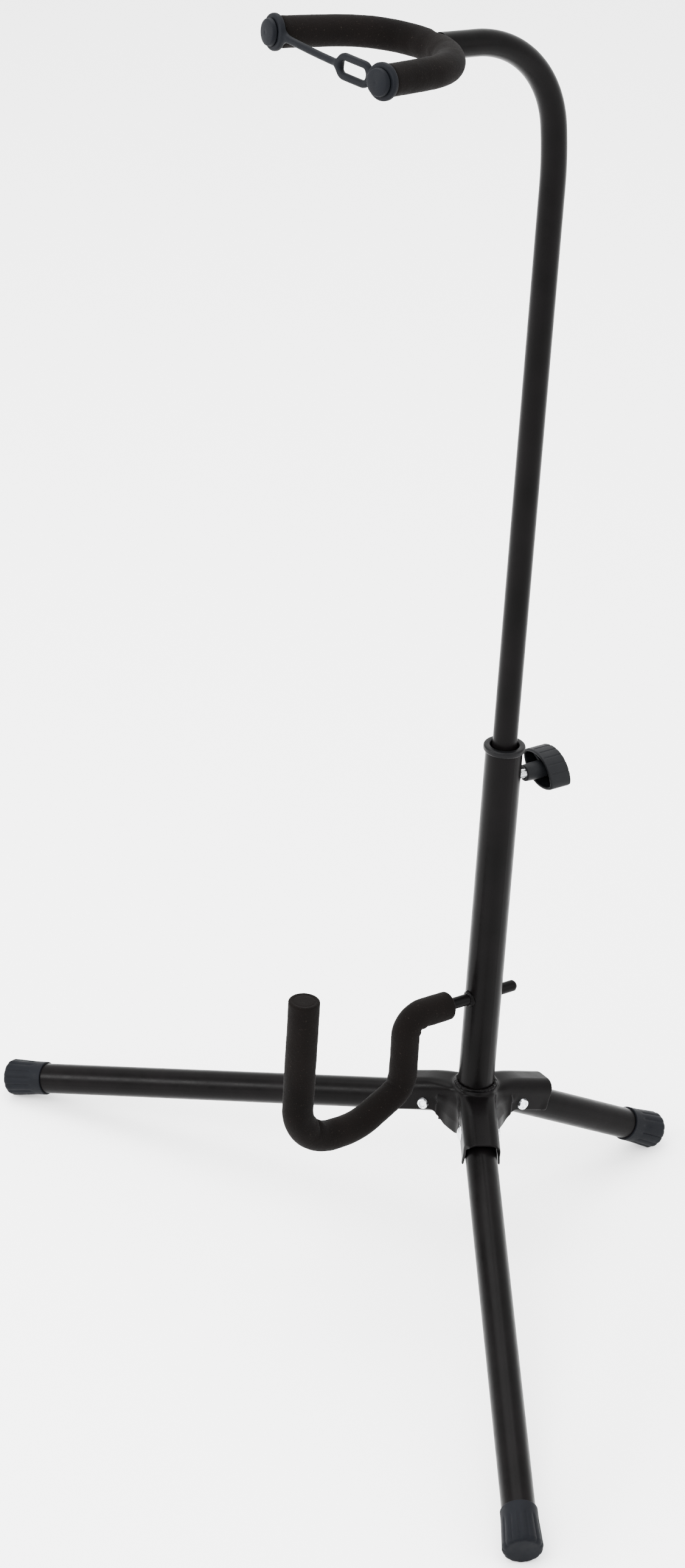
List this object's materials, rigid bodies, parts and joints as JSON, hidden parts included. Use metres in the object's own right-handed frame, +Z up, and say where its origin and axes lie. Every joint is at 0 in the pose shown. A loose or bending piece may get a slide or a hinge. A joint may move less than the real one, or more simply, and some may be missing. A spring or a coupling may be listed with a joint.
{
  "type": "guitar stand",
  "caption": "Folding stand on splayed tube legs: a leaning telescopic upright with a foam-covered neck yoke, rubber strap and foam-covered hook for a guitar's body.",
  "frame": {"origin": "centre of the footprint's box at floor level", "axes": "+Z up, -Y the side that the guitar hangs on, +X to the right of someone who stands behind the guitar and looks along -Y's reverse, so that X, Y and Z are right-handed"},
  "size_m": [0.6484, 0.3674, 0.8955],
  "materials": {
    "powder_coat": "satin black powder coat",
    "zinc": "bright zinc plating",
    "bush_plastic": "moulded black plastic",
    "knob_plastic": "moulded black plastic",
    "foam": "matt black closed-cell foam",
    "rubber": "dull blue-black rubber"
  },
  "bodies": {
    "stand": {"hub": "powder_coat", "hub_weld": "powder_coat", "upright_tube": "powder_coat", "top_bush": "bush_plastic", "clamp_plate": "zinc", "cradle_rod": "powder_coat", "cradle_weld": "powder_coat", "cradle_foam": "foam", "rivet_left": "zinc", "rivet_right": "zinc", "rivet_rear": "zinc"},
    "guide": {"guide_bush": "bush_plastic"},
    "neck": {"neck_tube": "powder_coat", "yoke_weld": "powder_coat", "yoke_rod": "powder_coat", "yoke_foam": "foam", "yoke_plug_left": "rubber", "yoke_plug_right": "rubber", "security_strap": "rubber"},
    "tip": {"clamp_pad": "bush_plastic"},
    "knob": {"clamp_screw": "zinc", "clamp_knob": "knob_plastic"},
    "left_leg": {"leg_left": "powder_coat", "foot_cap_left": "rubber"},
    "right_leg": {"leg_right": "powder_coat", "foot_cap_right": "rubber"},
    "rear_leg": {"leg_rear": "powder_coat", "foot_cap_rear": "rubber"}
  },
  "joints": [
    {"name": "neck_slide", "type": "slide", "parent": "stand", "child": "guide", "axis": [0, 0.0698, 0.9976], "range_m": [-0.105, 0.028]},
    {"name": "neck_swivel", "type": "hinge", "parent": "guide", "child": "neck", "pos_m": [0, 0.03091, 0.30109], "axis": [0, 0.0698, 0.9976], "continuous": true},
    {"name": "clamp_travel", "type": "slide", "parent": "stand", "child": "tip", "axis": [0, 0.9976, -0.0698], "range_m": [0, 0.00201]},
    {"name": "knob_turn", "type": "hinge", "parent": "tip", "child": "knob", "pos_m": [0, 0.03433, 0.34997], "axis": [0, 0.9976, -0.0698], "range_deg": [0, 720]},
    {"name": "left_leg_fold", "type": "hinge", "parent": "stand", "child": "left_leg", "pos_m": [-0.02858, -0.00014, 0.09355], "axis": [0.5, -0.8639, 0.0604], "range_deg": [0, 74]},
    {"name": "right_leg_fold", "type": "hinge", "parent": "stand", "child": "right_leg", "pos_m": [0.02858, -0.00014, 0.09355], "axis": [0.5, 0.8639, -0.0604], "range_deg": [0, 74]},
    {"name": "rear_leg_fold", "type": "hinge", "parent": "stand", "child": "rear_leg", "pos_m": [0, 0.04924, 0.0901], "axis": [-1, 0, 0], "range_deg": [0, 62]}
  ],
  "couplings": [
    {"joint": "clamp_travel", "follows": "knob_turn", "m_per_rad": 0.00015915}
  ]
}
